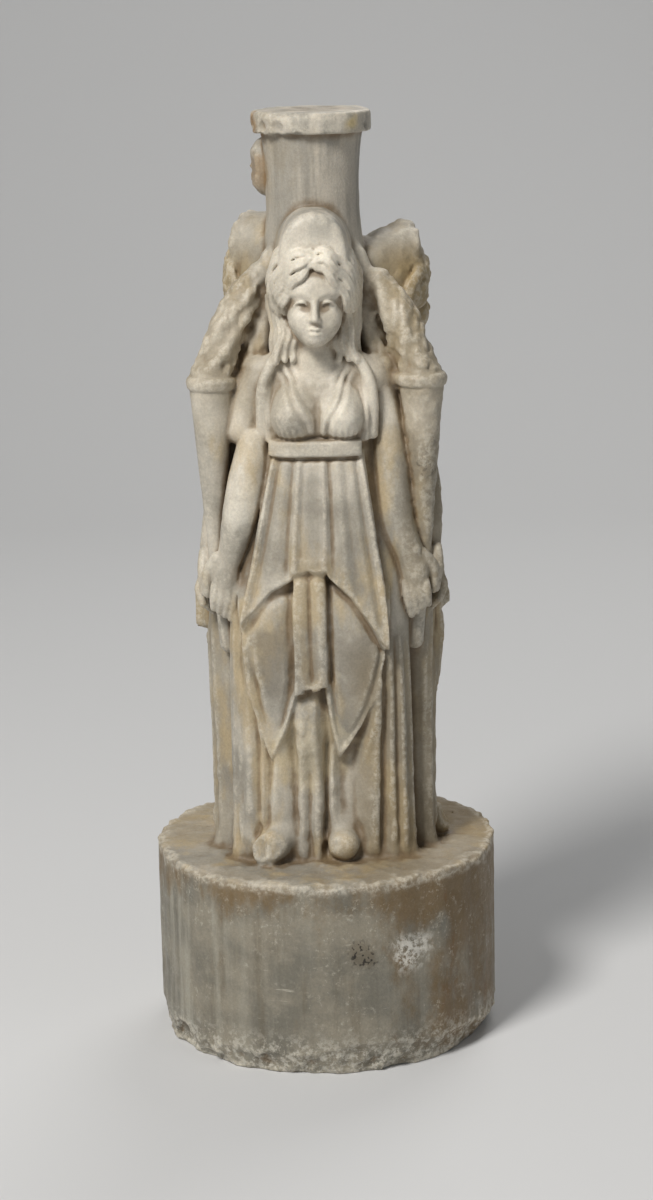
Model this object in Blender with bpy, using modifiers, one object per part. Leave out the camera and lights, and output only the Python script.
"""Hekataion: three draped women stand back to back round a column, on a drum, all cut from one marble block.

Lengths are metres. The carving of the figures is worked out in figure millimetres: shares of the figure's
height that are true millimetres at its real size. +Z is up, the origin is under the middle of the drum,
and the front figure looks along -Y.
"""

import math

import bmesh
import bpy
import numpy as np
import openvdb
from mathutils import Vector

# Driving dimensions of the drum and the column
DRUM_RADIUS = 0.0835
DRUM_HEIGHT = 0.095
DRUM_ARRIS = 0.0012  # worn off the drum's upper edge
EDGE_LOSS = 0.0040  # broken away all round the drum's lower edge
BREAK_HEIGHT = 0.013  # how far the break reaches up the drum
COLUMN_RADIUS = 0.0213  # at its narrowest
COLUMN_FLARE = 0.0040  # how much wider the column is under its rim
HEAD_SWELL = 0.0027  # how much wider it is behind the figures' heads
FLARE_HEIGHT = 0.034
COLUMN_CLEAR = 0.0425  # the column stands this far above the headdresses
RIM_LIP = 0.0027  # the rim's overhang past the flare
RIM_HEIGHT = 0.0085
RIM_ARRIS = 0.0008
KNOB_RADII = (0.007, 0.008, 0.0135)  # the broken boss on the column's left side
KNOB_DROP = 0.026  # from the column's top to the boss's middle
TURNED_STEPS = 64

# Driving dimensions of the figures
FIGURE_HEIGHT = 0.294  # drum to the crown of the front figure's head
MM = FIGURE_HEIGHT / 294
FIGURE_TURNS = (0.0, 118.0, -124.0)  # degrees about the column
HEAD_REACH = (0.0, 6.0, -5.0)  # how much further each head stands out, in figure millimetres
HEAD_DROP = (0.0, 7.0, 5.0)  # how much lower each head sits
HEADDRESS_RISE = (0.0, 0.42, 0.12)  # how steeply each headdress climbs from the column to its face
HEADDRESS_TOP = 310.5
TORCH_TURNS = (60.0, 180.0, -60.0)
COLUMN_TOP = DRUM_HEIGHT + HEADDRESS_TOP * MM + COLUMN_CLEAR

# Stone field and mesh
VOXEL = 1.6  # figure millimetres
FAR = 30.0
FIGURE_TRIANGLES = 6800
SUNK = 3.0  # the figures' skirts run this far into the drum
CORE_INSET = 1.2  # the core inside the figures stays this far inside the column's face

COLUMN_SWELL = 32.0  # the column swells over this height, down from the headdresses' tops
COLUMN_ROOT = 180.0  # the column starts at this height inside the figures

MARBLE = (0.62, 0.58, 0.51, 1.0)
MARBLE_ROUGHNESS = 0.5


# Distance field of the stone


def smooth_step(value):
    value = np.clip(value, 0.0, 1.0)
    return value * value * (3 - 2 * value)


def soft_min(a, b, blend):
    if blend <= 0:
        return np.minimum(a, b)
    share = np.clip(0.5 + 0.5 * (b - a) / blend, 0, 1)
    return b + (a - b) * share - blend * share * (1 - share)


def soft_max(a, b, blend):
    return -soft_min(-a, -b, blend)


class Stone:
    """A block as a distance field in figure millimetres, above the drum. Below zero is stone."""

    def __init__(self, low, high, voxel):
        self.low = np.array(low, float)
        self.voxel = voxel
        cells = np.ceil((np.array(high, float) - self.low) / voxel).astype(int) + 1
        self.field = np.full(cells, FAR, np.float32)

    def window(self, low, high, turn):
        """The part of the field round a box in a figure's own frame, and the points there in that frame."""
        angle = math.radians(turn)
        c, s = math.cos(angle), math.sin(angle)
        corners = [(x * c - y * s, x * s + y * c) for x in (low[0], high[0]) for y in (low[1], high[1])]
        box_low = (min(p[0] for p in corners), min(p[1] for p in corners), low[2])
        box_high = (max(p[0] for p in corners), max(p[1] for p in corners), high[2])
        first = np.floor((np.array(box_low) - self.low) / self.voxel).astype(int)
        last = np.ceil((np.array(box_high) - self.low) / self.voxel).astype(int) + 1
        first, last = np.clip(first, 0, self.field.shape), np.clip(last, 0, self.field.shape)
        where = tuple(slice(a, b) for a, b in zip(first, last))
        x, y, z = np.ogrid[where]
        x, y, z = (
            (self.low[i] + self.voxel * n).astype(np.float32) for i, n in enumerate((x, y, z))
        )
        return where, (x * c + y * s, y * c - x * s, z)

    def add(self, shape, blend=0.0, turn=0.0):
        distance, low, high = shape
        where, points = self.window(low - blend - 2 * self.voxel, high + blend + 2 * self.voxel, turn)
        self.field[where] = soft_min(self.field[where], distance(*points), blend)

    def cut(self, shape, blend=0.0, turn=0.0):
        distance, low, high = shape
        where, points = self.window(low - blend - 2 * self.voxel, high + blend + 2 * self.voxel, turn)
        self.field[where] = soft_max(self.field[where], -distance(*points), blend)

    def mesh(self, name):
        grid = openvdb.FloatGrid(background=FAR)
        grid.copyFromArray(self.field)
        points, quads = grid.convertToQuads(isovalue=0.0)
        made = bpy.data.meshes.new(name)
        made.from_pydata(points * self.voxel + self.low, [], quads)
        keep_largest(made)
        return made


def keep_largest(mesh):
    """Removes the specks and sealed bubbles that the carving leaves, and keeps the one big body."""
    shape = bmesh.new()
    shape.from_mesh(mesh)
    left, bodies = set(shape.verts), []
    while left:
        body, edge = set(), {left.pop()}
        while edge:
            body |= edge
            edge = {e.other_vert(v) for v in edge for e in v.link_edges} - body
        left -= body
        bodies.append(body)
    largest = max(bodies, key=len)
    bmesh.ops.delete(shape, geom=[v for v in shape.verts if v not in largest], context="VERTS")
    shape.to_mesh(mesh)
    shape.free()


def ball(centre, radii):
    centre, radii = np.array(centre, float), np.array(radii, float)

    def distance(x, y, z):
        p = [(v - c) / r for v, c, r in zip((x, y, z), centre, radii)]
        near = np.sqrt(p[0] ** 2 + p[1] ** 2 + p[2] ** 2) + 1e-6
        steep = np.sqrt(sum((v / r) ** 2 for v, r in zip(p, radii))) + 1e-6
        return near * (near - 1) / steep

    return distance, centre - radii, centre + radii


def tube(points, radii):
    """A round bar through the points, its radius changing from one to the next."""
    points, radii = np.array(points, float), np.array(radii, float)
    reach = radii.max()

    def distance(x, y, z):
        nearest = None
        for a, b, radius_a, radius_b in zip(points, points[1:], radii, radii[1:]):
            along = b - a
            t = ((x - a[0]) * along[0] + (y - a[1]) * along[1] + (z - a[2]) * along[2]) / (along @ along)
            t = np.clip(t, 0, 1)
            away = np.sqrt(
                (x - a[0] - t * along[0]) ** 2 + (y - a[1] - t * along[1]) ** 2 + (z - a[2] - t * along[2]) ** 2
            )
            away = away - (radius_a + (radius_b - radius_a) * t)
            nearest = away if nearest is None else np.minimum(nearest, away)
        return nearest

    return distance, points.min(axis=0) - reach, points.max(axis=0) + reach


def smooth_path(points, steps=4):
    """More points through the same ones, on a Catmull-Rom curve. A fourth value, the radius, is smoothed too."""
    p = np.array(points, float)
    p = np.vstack([2 * p[0] - p[1], p, 2 * p[-1] - p[-2]])
    made = []
    for a, b, c, d in zip(p, p[1:], p[2:], p[3:]):
        for t in np.arange(steps) / steps:
            made.append(
                0.5 * (2 * b + (c - a) * t + (2 * a - 5 * b + 4 * c - d) * t**2 + (3 * b - 3 * c + d - a) * t**3)
            )
    return np.array([*made, p[-2]])


def limb(points, steps=4):
    """A tube through (x, y, z, radius) points."""
    path = smooth_path(points, steps)
    return tube(path[:, :3], path[:, 3])


# Draped body: one figure's robe as a radius round the column's axis, by azimuth and height

ROBE_TOP = 246.0
MAP_STEP_DEG, MAP_STEP_MM = 0.5, 0.5
HALF_MAP_DEG = 80.0
AROUND = 48.0  # the radius at which azimuths are measured as millimetres along the surface

# Height, half width, front distance and squareness of the body's plan
BODY_PLAN = (
    (0, 47.5, 41.5, 6.0),
    (30, 46.5, 41.5, 6.0),
    (60, 45.5, 42, 6.0),
    (90, 45, 44, 5.5),
    (120, 44, 46, 5.0),
    (140, 42, 46.5, 4.0),
    (170, 36, 45, 3.2),
    (192, 31, 42.5, 3.0),
    (204, 30, 42.5, 3.0),
    (215, 30.5, 43.5, 2.8),
    (226, 30.5, 42, 2.6),
    (234, 28, 38.5, 2.4),
    (240, 22, 34, 2.3),
    (246, 14, 28, 2.2),
)
# The same for the overfold, which hangs from the belt in front of the body
OVERFOLD_PLAN = (
    (100, 60, 53, 4.0),
    (120, 54, 53, 3.6),
    (140, 47, 52, 3.2),
    (170, 40, 48.5, 3.0),
    (197, 32, 45, 2.9),
    (210, 24, 38, 2.4),
)
OVERFOLD_HEM = ((-39, 116), (-34, 123), (-24, 134), (-14, 139), (-12, 144), (2, 144), (4, 140), (15, 130), (22, 120), (31, 105))
OVERFOLD_SIDES = ((100, -41.0, 32.5), (140, -34.0, 29.5), (197, -23.5, 22.0), (210, -22.0, 21.0))
THIGH_PLAN = ((40, 52, 43.5, 4.0), (80, 52, 46, 4.0), (110, 52, 48, 4.0), (128, 50, 49, 4.0), (148, 38, 45, 3.0))
THIGH_HEM = (
    (-40, 125),
    (-37.5, 112),
    (-33, 80),
    (-25.5, 49.5),
    (-17, 66),
    (-10.5, 88),
    (0.5, 88),
    (4, 64),
    (7.5, 50.5),
    (17, 66),
    (25, 84),
    (31, 108),
    (33, 125),
)
UNDER_OVERFOLD = 150.0  # the cloth below the overfold ends here, out of sight
BELT_LOW, BELT_HIGH = 196.5, 204.5
GROOVE_DEPTH = 5.0  # between one figure's skirt and the next


def plan_radius(plan, azimuth, height):
    """The distance from the column's axis to the plan's edge, for a plan that changes with height."""
    table = np.array(plan, float)
    width, front, square = (np.interp(height, table[:, 0], table[:, i]) for i in (1, 2, 3))
    side = np.abs(np.sin(azimuth)) / width
    ahead = np.maximum(np.cos(azimuth), 0.02) / front
    return (side**square + ahead**square) ** (-1 / square)


class Robe:
    """Paints one figure's robe on a map of azimuth by height."""

    def __init__(self):
        degrees = np.arange(-HALF_MAP_DEG, HALF_MAP_DEG + MAP_STEP_DEG / 2, MAP_STEP_DEG)
        self.azimuth = np.radians(degrees)[:, None]
        self.height = np.arange(-SUNK - 1, ROBE_TOP, MAP_STEP_MM)[None, :]
        self.radius = plan_radius(BODY_PLAN, self.azimuth, self.height)

    def around(self, x, height):
        """Where a point seen at x from the front lies along the surface."""
        table = np.array(BODY_PLAN, float)
        front = np.interp(height, table[:, 0], table[:, 2]) + 2
        return AROUND * np.arctan2(x, front)

    def stroke(self, points, width, fade=0.2):
        """1 on a line through (x, height) points, falling to 0 a width away, and fading at the line's ends."""
        path = smooth_path(points) if len(points) > 2 else np.array(points, float)
        path = np.column_stack([self.around(path[:, 0], path[:, 1]), path[:, 1]])
        lengths = np.linalg.norm(np.diff(path, axis=0), axis=1)
        total = lengths.sum()
        s, z = AROUND * self.azimuth, self.height
        nearest, at = np.full(self.radius.shape, 1e9), np.zeros(self.radius.shape)
        run = 0.0
        for a, b, length in zip(path, path[1:], lengths):
            along = (b - a) / length
            t = np.clip((s - a[0]) * along[0] + (z - a[1]) * along[1], 0, length)
            away = (s - a[0] - t * along[0]) ** 2 + (z - a[1] - t * along[1]) ** 2
            closer = away < nearest
            nearest = np.where(closer, away, nearest)
            at = np.where(closer, (run + t) / total, at)
            run += length
        ends = smooth_step(at / fade) * smooth_step((1 - at) / fade) if fade else 1.0
        return np.exp(-nearest / width**2) * ends

    def fold(self, points, width, height, fade=0.2):
        self.radius = self.radius + height * self.stroke(points, width, fade)

    def bump(self, x, height, wide, tall, rise):
        s = (AROUND * self.azimuth - self.around(x, height)) / wide
        z = (self.height - height) / tall
        self.radius = self.radius + rise * np.clip(1 - s**2 - z**2, 0, 1) ** 1.5

    def layer(self, plan, inside_of, edge=1.0):
        """Lays another thickness of cloth over the robe where inside_of(x, height) is above zero."""
        cloth = plan_radius(plan, self.azimuth, self.height)
        inside = smooth_step(inside_of(cloth * np.sin(self.azimuth), self.height) / edge + 0.5)
        self.radius = self.radius + inside * np.maximum(cloth - self.radius, 0)


def lower_skirt(robe):
    """The long underskirt, with pleats down to the drum and the robe pushed out by the shins."""
    robe.bump(-21, 22, 12, 40, 1.8)
    robe.bump(10.5, 22, 9, 36, 1.8)
    pleats = (
        (-46, 124, -50, 2, 3.4, 2.8),
        (-34, 100, -31, 0, 2.8, 2.4),
        (21.5, 66, 23.5, 0, 3.2, 2.2),
        (28.5, 104, 31, 0, 2.0, 2.2),
        (35, 112, 38, 0, 2.6, 2.2),
        (43, 112, 46.5, 0, 3.0, 2.2),
        (54, 116, 58, 0, 3.6, 2.2),
        (-56, 122, -61, 2, 3.4, 2.4),
    )
    valleys = (
        (-40, 116, -41, 0, 1.8, -2.2),
        (-28.5, 60, -29.5, 0, 1.8, -2.4),
        (-17, 48, -15.5, 8, 2.4, -2.4),
        (3.4, 60, 3.0, 0, 2.4, -5.0),
        (18, 54, 19, 0, 1.6, -2.4),
        (25.6, 92, 27.4, 0, 1.5, -2.4),
        (32, 112, 34.2, 0, 1.5, -2.4),
        (39, 112, 42, 0, 1.6, -2.6),
        (48, 116, 52, 0, 2.2, -2.8),
        (-51, 116, -56, 0, 2.2, -2.6),
    )
    for x_top, top, x_foot, foot, width, height in pleats + valleys:
        bend = 0.7 * math.sin(4 * x_top)
        robe.fold(((x_top, top), ((x_top + x_foot) / 2 + bend, (top + foot) / 2), (x_foot, foot)), width, height, 0.08)


def thigh_drapery(robe):
    """The robe drawn over both thighs to hang in two points, with rolled edges."""
    hem_x, hem_z = np.array(THIGH_HEM, float).T

    def inside(x, height):
        across = np.minimum(x - hem_x[0], hem_x[-1] - x)
        return np.minimum(np.minimum(height - np.interp(x, hem_x, hem_z), across), UNDER_OVERFOLD - height)

    robe.layer(THIGH_PLAN, inside)
    robe.bump(-24, 102, 15, 50, 2.6)
    robe.bump(16, 100, 15, 50, 2.6)
    for points in (
        ((-37, 112), (-33.5, 82), (-30, 64), (-25.5, 51)),
        ((-25.5, 51), (-20, 60), (-12, 84), (-10, 104)),
        ((2, 100), (3, 78), (7.5, 52)),
        ((7.5, 52), (16, 66), (24, 84), (30, 106)),
    ):
        robe.fold(points, 2.1, 1.6, 0.12)
    for points in (
        ((-33, 118), (-28, 98), (-25, 78), (-24, 62)),
        ((-15, 118), (-16, 96), (-20, 72)),
        ((5, 112), (7, 88), (9, 66)),
        ((25, 112), (19, 88), (12, 66)),
    ):
        robe.fold(points, 1.8, 1.0, 0.3)
    for points in (
        ((-33, 106), (-29, 82), (-26, 62)),
        ((-12.5, 108), (-15, 86), (-22, 60)),
        ((26, 100), (19, 78), (9, 58)),
    ):
        robe.fold(points, 1.3, -1.3, 0.25)


def centre_panel(robe):
    """The end of the middle pleats, which hangs below the overfold."""

    def inside(x, height):
        across = np.minimum(x + 13.5, 2.5 - x)
        return np.minimum(np.minimum(height - 86 - 0.18 * x, across), UNDER_OVERFOLD - height)

    robe.layer(((60, 60, 50.5, 4.0), (150, 60, 51.5, 4.0)), inside)
    robe.fold(((-10.8, 146), (-11.4, 86)), 1.8, 1.2, 0.0)
    robe.fold(((-1.6, 146), (-0.6, 86)), 2.2, 1.4, 0.0)
    robe.fold(((-5.6, 146), (-5.4, 88)), 1.4, -1.6, 0.0)
    robe.fold(((3.8, 142), (4, 88)), 1.3, -1.8, 0.1)


def overfold(robe):
    """The overfold, which flares from the belt to an arched hem."""
    hem_x, hem_z = np.array(OVERFOLD_HEM, float).T
    side_z, side_low, side_high = np.array(OVERFOLD_SIDES, float).T

    def inside(x, height):
        across = np.minimum(x - np.interp(height, side_z, side_low), np.interp(height, side_z, side_high) - x)
        return np.minimum(np.minimum(height - np.interp(x, hem_x, hem_z), across), BELT_HIGH - height)

    robe.fold(((-38, 112), (-24, 130), (-14, 135), (-12, 141), (2, 141), (15, 126), (30, 102)), 1.8, -1.6, 0.05)
    robe.layer(OVERFOLD_PLAN, inside)
    pleats = (
        (-22, 196, -38, 114, 1.6, 2.4),
        (-8.6, 196, -12, 142, 1.8, 1.4),
        (-3.5, 196, -5, 142, 3.0, 0.8),
        (2.2, 196, 1.8, 142, 1.5, 1.3),
        (8.4, 196, 11, 133, 2.2, 1.3),
        (14.5, 196, 22, 120, 2.0, 1.2),
        (20.8, 196, 30.4, 104, 1.7, 2.3),
    )
    valleys = (
        (-18.6, 196, -33, 124, 1.5, -1.4),
        (-11.8, 196, -15.6, 139, 1.5, -1.5),
        (5.0, 196, 5.8, 138, 1.5, -1.7),
        (11.6, 196, 16.4, 127, 1.5, -1.3),
        (17.8, 196, 26.6, 111, 1.5, -1.4),
    )
    for x_top, top, x_foot, foot, width, height in pleats + valleys:
        robe.fold(((x_top, top), (x_foot, foot)), width, height, 0.06)


def bodice(robe):
    """Bust, the folds that fall from the shoulder pins to the neckline's point, and the side edges."""
    for side in (-1, 1):
        robe.bump(13.5 * side, 215.5, 13.5, 15, 10.5)
        robe.fold(((18 * side, 241), (9.5 * side, 226), (2.8 * side, 213), (2.2 * side, 205)), 1.8, 1.8, 0.12)
        robe.fold(((22 * side, 238), (14 * side, 226), (7 * side, 214)), 1.6, 1.2, 0.2)
        robe.fold(((14 * side, 242), (7 * side, 230.5), (0, 226.5)), 1.5, 1.3, 0.1)
        robe.fold(((20 * side, 239.5), (11.8 * side, 226), (4.8 * side, 213), (4 * side, 206)), 1.0, -1.3, 0.15)
        robe.fold(((25.5 * side, 240), (26.5 * side, 222), (26 * side, 202)), 3.2, 4.6, 0.06)
        robe.fold(((23 * side, 239), (23.6 * side, 222), (23 * side, 205)), 1.3, -1.6, 0.15)
        for x in (8, 12, 16.5, 20):
            robe.fold((((x - 1.0) * side, 212), (x * side, 204)), 1.0, 1.1, 0.3)


def belt(robe):
    """The band under the bust, wrapped over everything that it gathers."""
    bulge = plan_radius(BODY_PLAN, robe.azimuth, robe.height) + 4.6
    x = bulge * np.sin(robe.azimuth)
    inside = np.minimum(np.minimum(robe.height - BELT_LOW, BELT_HIGH - robe.height), np.minimum(x + 25, 22.5 - x))
    robe.radius = robe.radius + smooth_step(inside / 1.2 + 0.5) * (bulge - robe.radius)
    robe.fold(((-23, BELT_LOW - 1.5), (0, BELT_LOW - 1.5), (22, BELT_LOW - 1.5)), 1.0, -1.4, 0.05)


def draped_figure():
    robe = Robe()
    for paint in (lower_skirt, thigh_drapery, centre_panel, overfold, bodice, belt):
        paint(robe)
    return robe


def robes_round_the_column():
    """All three robes on one map of the whole turn, each in its own place."""
    robe = draped_figure()
    steps = round(360 / MAP_STEP_DEG)
    turn = np.zeros((steps, robe.radius.shape[1]))
    half = robe.radius.shape[0] // 2
    for degrees in FIGURE_TURNS:
        at = (np.arange(-half, half + 1) + round(degrees / MAP_STEP_DEG)) % steps
        turn[at] = soft_max(turn[at], robe.radius, 2.0)
    for degrees in TORCH_TURNS:
        off = (np.arange(steps) * MAP_STEP_DEG - degrees + 180) % 360 - 180
        groove = np.exp(-((off / 4.0) ** 2))[:, None] * np.interp(robe.height, (85, 118), (1, 0))
        turn = turn - GROOVE_DEPTH * groove
    return turn, robe.height[0, 0]


def robe_shape(turn, foot):
    """The distance from the robes' surface, from their map of radii."""
    slope_up = np.gradient(turn, MAP_STEP_MM, axis=1)
    slope_round = np.gradient(np.vstack([turn[-1:], turn, turn[:1]]), axis=0)[1:-1]
    slope_round = slope_round / (turn * math.radians(MAP_STEP_DEG))
    steep = np.clip(1 / np.sqrt(1 + slope_up**2 + slope_round**2), 0.35, 1)
    steps, rows = turn.shape

    def distance(x, y, z):
        column = (np.arctan2(x, -y) * (180 / math.pi / MAP_STEP_DEG)) % steps
        row = np.clip((z - foot) / MAP_STEP_MM, 0, rows - 1.001)
        left, low = np.floor(column).astype(int) % steps, np.floor(row).astype(int)
        right, high = (left + 1) % steps, low + 1
        u, v = column - np.floor(column), row - low

        def read(table):
            return (table[left, low] * (1 - u) + table[right, low] * u) * (1 - v) + (
                table[left, high] * (1 - u) + table[right, high] * u
            ) * v

        side = (np.sqrt(x**2 + y**2) - read(turn)) * read(steep)
        return soft_max(soft_max(side, z - (ROBE_TOP - 4), 6.0), foot - z, 0.0)

    return distance, np.array([-70, -70, foot]), np.array([70, 70, ROBE_TOP])


# Heads, arms, torches and feet, in each figure's own frame: x to the viewer's right, y away from the viewer


def shoulders(stone, turn):
    """From the neck out to the top of each arm, with the gathered cloth of the shoulder straps."""
    for side in (-1, 1):
        stone.add(limb(((6 * side, -25, 240, 8), (16 * side, -27, 237, 8), (25 * side, -26, 231, 8.5))), 4, turn)
        strap = ((15.5 * side, -32, 244.5, 1.8), (21.5 * side, -35, 240, 2.3), (26.5 * side, -36, 229, 2.4), (28 * side, -35.5, 214, 2.6), (29 * side, -35, 201, 3.0))
        stone.add(limb(strap), 1.5, turn)


def head(stone, turn, reach, drop):
    def place(points):
        return [(p[0], p[1] - reach, p[2] - drop, *p[3:]) for p in points]

    def mass(centre, radii, blend):
        (centre,) = place([centre])
        stone.add(ball(centre, radii), blend, turn)

    neck = place([(0, -30, 254, 9.5)]) + [(0, -29, 240, 10.5), (0, -26, 228, 13)]
    stone.add(limb(neck), 3, turn)
    mass((0, -35, 272), (15, 17, 18), 2)
    mass((0, -41, 260), (11.2, 11.8, 11.5), 5)
    mass((0, -48.3, 252.8), (4.8, 4.4, 3.6), 4)
    mass((0, -46.5, 275), (10.5, 5.6, 5.5), 4)
    for side in (-1, 1):
        mass((6.6 * side, -46.5, 261), (4.8, 4.6, 5.4), 4)
        (socket,) = place([(5.6 * side, -54.6, 268.2)])
        stone.cut(ball(socket, (4.2, 4.0, 2.6)), 2.2, turn)
        mass((5.7 * side, -48.6, 267.8), (3.6, 2.7, 2.2), 0.6)
        lid = place([(2.4, -50.3, 267.9, 0.6), (5.4, -51.6, 270, 0.75), (9.2, -49.3, 268.2, 0.6)])
        stone.add(limb([(p[0] * side, *p[1:]) for p in lid]), 0.6, turn)
        mass((1.9 * side, -53.2, 261.6), (1.5, 1.5, 1.3), 1.0)
    nose = place([(0, -51.6, 272, 1.5), (0, -53.6, 266.5, 1.6), (0, -55.4, 262.4, 2.0)])
    stone.add(limb(nose), 1.6, turn)
    upper = place([(-4.4, -50.9, 257.0, 0.8), (-1.5, -52.9, 257.9, 1.2), (0, -53.1, 257.5, 1.1), (1.5, -52.9, 257.9, 1.2), (4.4, -50.9, 257.0, 0.8)])
    stone.add(limb(upper), 0.7, turn)
    lower = place([(-3.4, -51, 255.3, 0.9), (0, -52.8, 254.8, 1.45), (3.4, -51, 255.3, 0.9)])
    stone.add(limb(lower), 0.7, turn)


def waved(points, width, waves, start=0.0, steps=5):
    """A lock's path with a wave laid on it, and its thickness swelling with the wave."""
    path = smooth_path(points, steps)
    phase = np.linspace(0, waves * 2 * math.pi, len(path)) + start
    path[:, 2] += width * np.sin(phase)
    path[:, 3] *= 1 + 0.14 * np.cos(phase)
    return tube(path[:, :3], path[:, 3])


def hair(stone, turn, reach, drop):
    """Waved hair parted in the middle, rolled back over the ears, with a lock on each shoulder."""
    stone.add(ball((0, -33 - reach, 278 - drop), (17, 16.5, 17.5)), 1.5, turn)
    locks = (
        ((0.8, -50.2, 282, 2.2), (6, -51, 281.4, 2.6), (12, -47.8, 276.4, 2.8), (15, -41.5, 268, 2.9), (14.6, -35, 262, 2.6)),
        ((0.4, -49, 287.0, 2.6), (7.4, -48.8, 287, 2.9), (14.2, -43.4, 281, 3.1), (17, -36.5, 271.5, 3.2), (16.2, -30, 262.5, 2.9)),
        ((0.4, -44.5, 291, 2.8), (8, -43, 291.2, 3.0), (15.4, -36.8, 286, 3.1), (17.6, -30, 276, 3.1), (17.4, -25, 265, 2.9)),
    )
    falls = (
        ((14.6, -32, 264, 2.4), (14.8, -34, 255, 2.4), (15.6, -37.5, 246.5, 2.3), (16.8, -41, 239.5, 2.6)),
        ((12, -34, 256, 2.0), (12.6, -37, 249, 2.0), (14, -40.5, 243, 1.7)),
    )
    for side in (-1, 1):
        for n, lock in enumerate(locks):
            points = [(p[0] * side, p[1] - reach, p[2] - drop, p[3]) for p in lock]
            stone.add(waved(points, 0.7, 3, n * 1.9), 0.7, turn)
        for n, fall in enumerate(falls):
            points = [(p[0] * side, p[1], p[2], p[3]) for p in fall]
            stone.add(waved(points, 0.5, 2, n * 1.5 + side), 0.8, turn)


# Distance from the axis, half width and top of the headdress, from its face back to the column
HEADDRESS_PLAN = ((14, 20, 310), (24, 19.5, HEADDRESS_TOP), (32, 18.2, 310), (38, 16.8, 309), (50, 16, 307.5))
HEADDRESS_MIDDLE = 285.0
HEADDRESS_FACE = 45.5


def headdress(stone, turn, reach, drop, rise):
    """The low crown, round-topped, which grows wider where it meets the column."""
    table = np.array(HEADDRESS_PLAN, float)
    face, middle = HEADDRESS_FACE + reach, HEADDRESS_MIDDLE - drop

    def distance(x, y, z):
        out = -y - reach * smooth_step((-y - 20) / 15)
        wide = np.interp(out, table[:, 0], table[:, 1])
        tall = np.interp(out, table[:, 0], table[:, 2]) - HEADDRESS_MIDDLE
        lean = rise * (out - face)
        across = (np.abs(x / wide) ** 2.8 + np.abs((z - middle - lean) / tall) ** 2.8) ** (1 / 2.8)
        return soft_max((across - 1) * np.minimum(wide, tall) * 0.85, -y - face, 3.0)

    low, high = np.array([-22, -face - 3, middle - 14]), np.array([22, -14, middle + 28])
    stone.add((distance, low, high), 1.2, turn)


TORCH_REACH = 56.6
TORCH_PROFILE = ((140, 3.4), (156, 3.8), (190, 6.7), (213, 8.4), (225.5, 9.2), (227, 10.7), (232, 10.7), (234, 8.9), (236, 8.8))
FLAME_TOPS = (267.0, 279.0, 279.0)


def torch_point(figure_turn, side):
    """The axis of the torch on this side of a figure, in the figure's own frame."""
    angles = [(t - figure_turn + 180) % 360 - 180 for t in TORCH_TURNS]
    (angle,) = [a for a in angles if side * a > 0 and abs(a) < 90]
    return TORCH_REACH * math.sin(math.radians(angle)), -TORCH_REACH * math.cos(math.radians(angle))


def torch(stone, turn, flame_top):
    """A long torch that two neighbours hold: butt, cone, moulded rim and a flame that leans in to the column."""
    out = TORCH_REACH
    stone.add(limb(((0, -out + 5.5, 104, 4.4), (0, -out + 3.5, 122, 4.0), (0, -out + 1, 138, 3.4), (0, -out, 150, 3.4))), 1.5, turn)
    stone.add(turned_bar(0, -out, TORCH_PROFILE), 0.8, turn)
    flame = smooth_path(
        (
            (0, -out, 233, 8.8),
            (0, -out + 3.5, 240, 8.8),
            (0, -out + 7, 249, 8.8),
            (0, -out + 12.5, 260, 8.5),
            (0, -out + 19, 270, 8.0),
            (0, -out + 25, 279, 6.5),
        )
    )
    flame = flame[flame[:, 2] <= flame_top]
    stone.add(tube(flame[:, :3], flame[:, 3]), 1.5, turn)
    web = ((0, -40, 232, 8), (0, -34, 245, 8), (0, -31, 256, 7.5), (0, -29.5, 268, 7), (0, -28, 280, 6), (0, -26, 287, 4.5))
    stone.add(limb(web), 4.0, turn)


def turned_bar(x, y, profile):
    """An upright turned shape at (x, y), from (height, radius) pairs."""
    heights, radii = np.array(profile, float).T

    def distance(px, py, pz):
        side = (np.hypot(px - x, py - y) - np.interp(pz, heights, radii)) * 0.85
        return soft_max(side, np.maximum(heights[0] - pz, pz - heights[-1]), 0.8)

    reach = radii.max()
    return distance, np.array([x - reach, y - reach, heights[0]]), np.array([x + reach, y + reach, heights[-1]])


def arms(stone, turn):
    """The right arm bends at the elbow, the left hangs straight, and each hand grips a torch's butt."""
    x, y = torch_point(turn, -1)
    stone.add(limb(((-27, -24, 234, 8.5), (-32, -27, 222, 8.4), (-35, -29, 208, 8.0))), 2, turn)
    forearm = ((-30, -33, 203, 7.0), (-34, -36, 186, 8.0), (-38, -37, 168, 7.8), (x + 7.5, y - 7, 152, 6.2), (x + 5, y - 6, 144, 5.6))
    stone.add(limb(forearm), 1.0, turn)
    hand(stone, turn, x, y, -1)
    x, y = torch_point(turn, 1)
    arm = ((26, -21, 234, 8.2), (31, -25, 215, 7.6), (34.5, -29, 190, 8.0), (36, -32, 165, 8.4), (x - 7.5, y - 6, 150, 7.0), (x - 6, y - 6, 140, 5.8))
    stone.add(limb(arm), 1.5, turn)
    hand(stone, turn, x, y, 1)


def hand(stone, turn, x, y, side):
    """Fingers closed down over the butt of the torch, the thumb on its outer side."""
    inward = -side
    stone.add(ball((x + 4.2 * inward, y - 7, 139), (6.4, 5.4, 10)), 2, turn)
    for n in range(4):
        start = (x + (9.2 - 3.2 * n) * inward, y - 8.6 - 0.9 * math.sin(n), 135, 2.4)
        middle = (x + (8.2 - 3.1 * n) * inward, y - 10, 127 + 1.0 * n, 2.4)
        tip = (x + (6.4 - 2.7 * n) * inward, y - 7.5, 118.5 + 1.8 * n, 2.0)
        stone.add(limb((start, middle, tip)), 0.5, turn)
    thumb = ((x + 0.6 * inward, y - 7, 148, 3.0), (x - 4.2 * inward, y - 5, 140, 2.7), (x - 4.4 * inward, y - 4, 130, 2.0))
    stone.add(limb(thumb), 0.8, turn)


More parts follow.
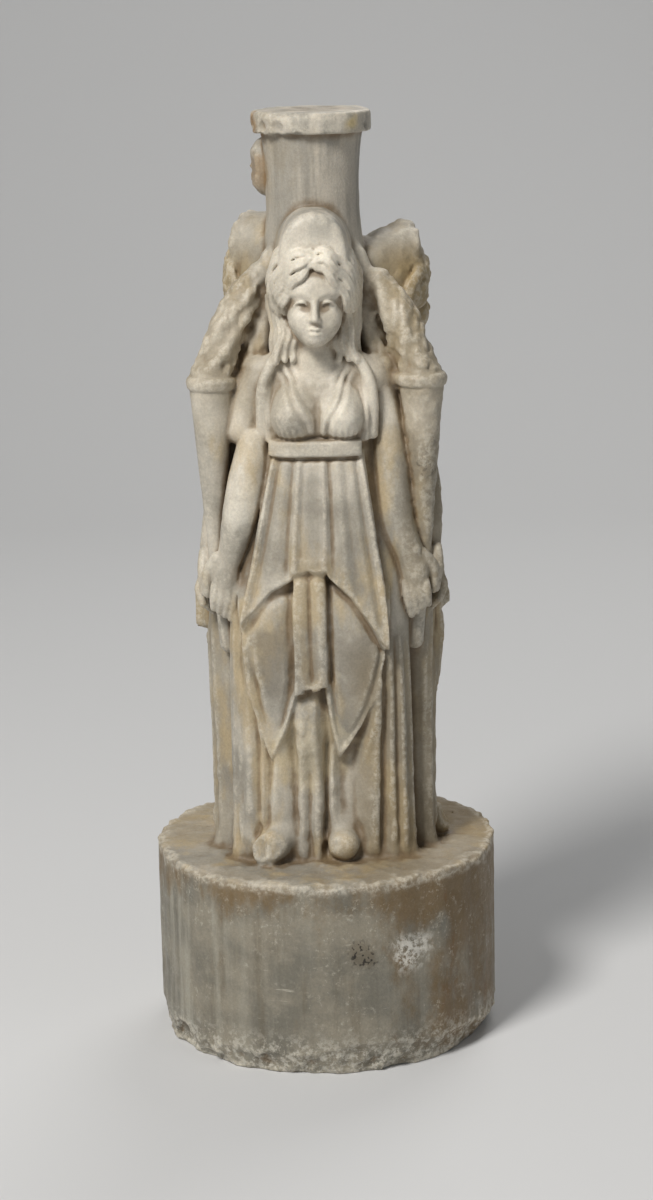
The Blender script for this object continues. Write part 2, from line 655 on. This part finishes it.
def feet(stone, turn):
    """The right foot is turned out, with its toes broken off, and the left points forward in a soft shoe."""
    stone.add(limb(((-16, -34, 13, 8.0), (-21, -40, 9, 8.0), (-27, -46.5, 6.5, 6.6))), 2.5, turn)
    stone.cut(ball((-37, -60, 17), (18, 18, 18)), 0.5, turn)
    stone.add(limb(((9, -32, 16, 7.5), (10, -39, 9.5, 8.4), (10.5, -43, 8, 8.2))), 2.5, turn)


def broken_fold(stone, turn):
    """The lumps left where the middle pleats below the panel have broken away."""
    for n, (x, wide) in enumerate(((-9.5, 3.4), (-4.5, 4.2), (-0.5, 3.0))):
        steps = [(x + 0.8 * math.sin(1.9 * k + n), -42 + 0.9 * math.cos(3.1 * k + 2 * n), 90 - 8 * k, wide + 0.6 * math.sin(2.3 * k + n)) for k in range(6)]
        stone.add(limb(steps), 1.5, turn)
    for x, wide in ((-9.5, 2.8), (-3.5, 3.2)):
        stone.add(limb(((x + 2, -39, 52, wide), (x, -40.5, 30, wide), (x - 0.5, -41, 0, wide))), 1.2, turn)


def column_radius(height):
    """The column's radius at a height above the ground, both in metres: it is widest behind the heads and at its top."""
    flare = np.clip(1 - (COLUMN_TOP - height) / FLARE_HEIGHT, 0, 1)
    swell = smooth_step((DRUM_HEIGHT + HEADDRESS_TOP * MM - height) / (COLUMN_SWELL * MM))
    return COLUMN_RADIUS + COLUMN_FLARE * flare**2 + HEAD_SWELL * swell


def carve_figures(voxel):
    """The three figures, their torches and the core that they are cut against, as one closed mesh in metres."""
    stone = Stone((-72, -72, -SUNK - 6), (72, 72, 322), voxel)
    turn, foot = robes_round_the_column()
    stone.add(robe_shape(turn, foot))
    heights = (20, 100, 200, 270, 285, 300)
    core = limb([(0, 0, z, float(column_radius(DRUM_HEIGHT + z * MM)) / MM - CORE_INSET) for z in heights], 2)
    stone.add(core, 3.0)
    for degrees, reach, drop, rise in zip(FIGURE_TURNS, HEAD_REACH, HEAD_DROP, HEADDRESS_RISE):
        broken_fold(stone, degrees)
        feet(stone, degrees)
        shoulders(stone, degrees)
        headdress(stone, degrees, reach, drop, rise)
        head(stone, degrees, reach, drop)
        hair(stone, degrees, reach, drop)
    for degrees, flame_top in zip(TORCH_TURNS, FLAME_TOPS):
        torch(stone, degrees, flame_top)
    for degrees in FIGURE_TURNS:
        arms(stone, degrees)
    mesh = stone.mesh("figures")
    for vertex in mesh.vertices:
        vertex.co = vertex.co * MM + Vector((0, 0, DRUM_HEIGHT))
    return mesh


# Drum, column and boss


def plain(mesh, name, material, collection):
    made = bpy.data.objects.new(name, mesh)
    mesh.materials.append(material)
    mesh.shade_smooth()
    collection.objects.link(made)
    return made


def helper(made):
    """A piece that is only there to be joined to the block."""
    made.hide_render = True
    made.display_type = "WIRE"
    return made


def turned(name, profile, material, collection):
    """A profile of (radius, height) points, from the top down, turned about the axis and closed at its poles."""
    mesh = bpy.data.meshes.new(name)
    mesh.from_pydata([(r, 0, z) for r, z in profile], [(i, i + 1) for i in range(len(profile) - 1)], [])
    made = plain(mesh, name, material, collection)
    screw = made.modifiers.new("turn", "SCREW")
    screw.steps = screw.render_steps = TURNED_STEPS
    screw.use_merge_vertices = True
    screw.merge_threshold = 0.00005
    return made


def drum(material, collection):
    foot = DRUM_RADIUS - EDGE_LOSS
    profile = (
        (0, DRUM_HEIGHT),
        (DRUM_RADIUS - DRUM_ARRIS, DRUM_HEIGHT),
        (DRUM_RADIUS, DRUM_HEIGHT - DRUM_ARRIS),
        (DRUM_RADIUS, BREAK_HEIGHT),
        (DRUM_RADIUS - EDGE_LOSS * 0.35, BREAK_HEIGHT * 0.5),
        (foot, 0),
        (0, 0),
    )
    whole = turned("drum_profile", profile, material, collection)
    mesh = bpy.data.meshes.new_from_object(whole.evaluated_get(bpy.context.evaluated_depsgraph_get()))
    bpy.data.objects.remove(whole)
    for vertex in mesh.vertices:
        break_edge(vertex.co)
    return helper(plain(mesh, "drum", material, collection))


def break_edge(point):
    """Moves a point of the drum's lower edge as the stone broke there: in steps round the drum, none on its foot."""
    radius = math.hypot(point.x, point.y)
    if point.z < 0.0001 or point.z > BREAK_HEIGHT * 1.01:
        return
    angle = math.atan2(point.y, point.x)
    chips = math.sin(5 * angle + 1.1) + 0.7 * math.sin(11 * angle + 0.4) + 0.5 * math.sin(23 * angle + 2.0)
    point.z += 0.16 * BREAK_HEIGHT * chips
    inward = 1 - 0.06 * EDGE_LOSS / radius * (1 + math.sin(9 * angle + 2.7) + math.sin(17 * angle))
    point.x, point.y = point.x * inward, point.y * inward


def column(material, collection):
    under_rim = COLUMN_TOP - RIM_HEIGHT
    rim = COLUMN_RADIUS + COLUMN_FLARE + RIM_LIP
    root = DRUM_HEIGHT + COLUMN_ROOT * MM
    swollen = DRUM_HEIGHT + (HEADDRESS_TOP - COLUMN_SWELL) * MM
    heights = [under_rim - (COLUMN_CLEAR - RIM_HEIGHT) * n / 6 for n in range(7)]
    heights += [swollen + (heights[-1] - swollen) * (1 - n / 3) for n in range(1, 4)] + [root]
    profile = [
        (0, COLUMN_TOP),
        (rim - RIM_ARRIS, COLUMN_TOP),
        (rim, COLUMN_TOP - RIM_ARRIS),
        (rim, under_rim + RIM_ARRIS),
        (rim - RIM_ARRIS, under_rim),
        *((float(column_radius(z)), z) for z in heights),
        (0, root),
    ]
    return helper(turned("column", profile, material, collection))


def boss(material, collection):
    """What is left of a knob on the column's left side."""
    mesh = bpy.data.meshes.new("boss")
    shape = bmesh.new()
    bmesh.ops.create_uvsphere(shape, u_segments=14, v_segments=10, radius=1)
    bmesh.ops.scale(shape, vec=KNOB_RADII, verts=shape.verts)
    bmesh.ops.translate(
        shape, vec=(-COLUMN_RADIUS - 0.2 * KNOB_RADII[0], KNOB_RADII[1] * 0.75, COLUMN_TOP - KNOB_DROP), verts=shape.verts
    )
    shape.to_mesh(mesh)
    shape.free()
    return helper(plain(mesh, "boss", material, collection))


def marble():
    material = bpy.data.materials.new("marble")
    material.use_nodes = True
    shader = material.node_tree.nodes["Principled BSDF"]
    shader.inputs["Base Color"].default_value = MARBLE
    shader.inputs["Roughness"].default_value = MARBLE_ROUGHNESS
    return material


def main():
    for old in list(bpy.data.objects):
        bpy.data.objects.remove(old)
    parts, helpers = (bpy.data.collections.new(name) for name in ("hekataion", "joined pieces"))
    for collection in (parts, helpers):
        bpy.context.scene.collection.children.link(collection)
    stone = marble()
    block = plain(carve_figures(VOXEL), "hekataion", stone, parts)
    facets = block.modifiers.new("facets", "DECIMATE")
    facets.ratio = FIGURE_TRIANGLES / (2 * len(block.data.polygons))
    for piece in (drum(stone, helpers), column(stone, helpers), boss(stone, helpers)):
        joined = block.modifiers.new(piece.name, "BOOLEAN")
        joined.operation, joined.object = "UNION", piece


if __name__ == "__main__":
    main()
